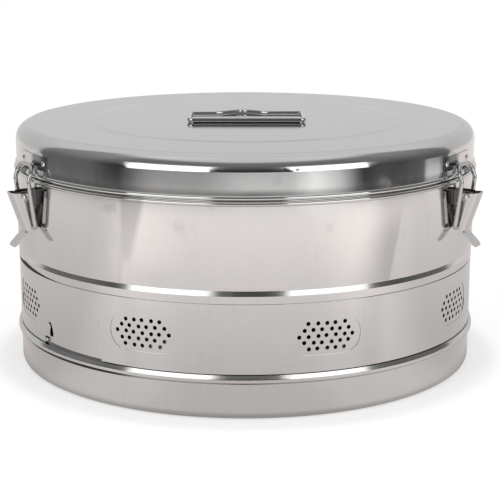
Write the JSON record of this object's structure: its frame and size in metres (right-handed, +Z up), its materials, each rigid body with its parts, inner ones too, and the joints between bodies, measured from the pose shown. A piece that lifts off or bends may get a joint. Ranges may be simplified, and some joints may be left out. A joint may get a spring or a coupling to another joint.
{
  "type": "sterilization container",
  "caption": "Round steel sterilization drum with a lift-off lid, folding wire handle, toggle latches and a turning perforated vent band.",
  "frame": {"origin": "centre of the flat bottom, on the drum's axis", "axes": "+Z up along the drum's axis, -Y towards the front, midway between two latches"},
  "size_m": [0.3747, 0.3935, 0.1988],
  "materials": {
    "polished_sheet": "polished stainless sheet",
    "polished_fitting": "polished stainless pressing",
    "bright_wire": "bright stainless wire",
    "polished_rivet": "polished stainless rivet"
  },
  "bodies": {
    "drum": {"drum_base": "polished_sheet", "drum_shell": "polished_sheet", "stop_stud": "polished_rivet", "latch_bracket_1": "polished_fitting", "latch_bracket_2": "polished_fitting", "latch_bracket_3": "polished_fitting", "latch_pin_1": "polished_rivet", "latch_pin_2": "polished_rivet", "latch_pin_3": "polished_rivet"},
    "vent_band": {"vent_band": "polished_sheet", "band_strap": "polished_fitting", "band_rivet_1": "polished_rivet", "band_rivet_2": "polished_rivet", "band_rivet_3": "polished_rivet", "band_rivet_4": "polished_rivet"},
    "lid": {"lid_shell": "polished_sheet", "handle_strap": "polished_fitting", "strap_rivet_1": "polished_rivet", "strap_rivet_2": "polished_rivet", "lid_catch_1": "polished_fitting", "lid_catch_2": "polished_fitting", "lid_catch_3": "polished_fitting", "catch_rivet_1a": "polished_rivet", "catch_rivet_1b": "polished_rivet", "catch_rivet_2a": "polished_rivet", "catch_rivet_2b": "polished_rivet", "catch_rivet_3a": "polished_rivet", "catch_rivet_3b": "polished_rivet"},
    "lid_handle": {"lid_handle": "bright_wire"},
    "lever_1": {"latch_lever_1": "polished_fitting"},
    "bail_1": {"latch_bail_1": "bright_wire"},
    "lever_2": {"latch_lever_2": "polished_fitting"},
    "bail_2": {"latch_bail_2": "bright_wire"},
    "lever_3": {"latch_lever_3": "polished_fitting"},
    "bail_3": {"latch_bail_3": "bright_wire"}
  },
  "joints": [
    {"name": "band_turn", "type": "hinge", "parent": "drum", "child": "vent_band", "pos_m": [0, 0, 0.0605], "axis": [0, 0, 1], "range_deg": [-20, 0]},
    {"name": "lid_lift", "type": "slide", "parent": "drum", "child": "lid", "axis": [0, 0, 1], "range_m": [0, 0.032]},
    {"name": "handle_fold", "type": "hinge", "parent": "lid", "child": "lid_handle", "pos_m": [0.0011, -0.0267, 0.19638], "axis": [1, 0, 0], "range_deg": [0, 180]},
    {"name": "lever_open_1", "type": "hinge", "parent": "drum", "child": "lever_1", "pos_m": [-0.16991, -0.0981, 0.1482], "axis": [-0.5, 0.866, 0], "range_deg": [0, 111]},
    {"name": "bail_swing_1", "type": "hinge", "parent": "lever_1", "child": "bail_1", "pos_m": [-0.16454, -0.095, 0.125], "axis": [0.5, -0.866, 0], "range_deg": [0, 181]},
    {"name": "lever_open_2", "type": "hinge", "parent": "drum", "child": "lever_2", "pos_m": [0.16991, -0.0981, 0.1482], "axis": [-0.5, -0.866, 0], "range_deg": [0, 111]},
    {"name": "bail_swing_2", "type": "hinge", "parent": "lever_2", "child": "bail_2", "pos_m": [0.16454, -0.095, 0.125], "axis": [0.5, 0.866, 0], "range_deg": [0, 181]},
    {"name": "lever_open_3", "type": "hinge", "parent": "drum", "child": "lever_3", "pos_m": [0, 0.1962, 0.1482], "axis": [1, 0, 0], "range_deg": [0, 111]},
    {"name": "bail_swing_3", "type": "hinge", "parent": "lever_3", "child": "bail_3", "pos_m": [0, 0.19, 0.125], "axis": [-1, 0, 0], "range_deg": [0, 181]}
  ],
  "couplings": [
    {"joint": "lever_open_1", "follows": "lid_lift", "rad_per_m": 60},
    {"joint": "bail_swing_1", "follows": "lid_lift", "rad_per_m": 98},
    {"joint": "lever_open_2", "follows": "lid_lift", "rad_per_m": 60},
    {"joint": "bail_swing_2", "follows": "lid_lift", "rad_per_m": 98},
    {"joint": "lever_open_3", "follows": "lid_lift", "rad_per_m": 60},
    {"joint": "bail_swing_3", "follows": "lid_lift", "rad_per_m": 98}
  ]
}
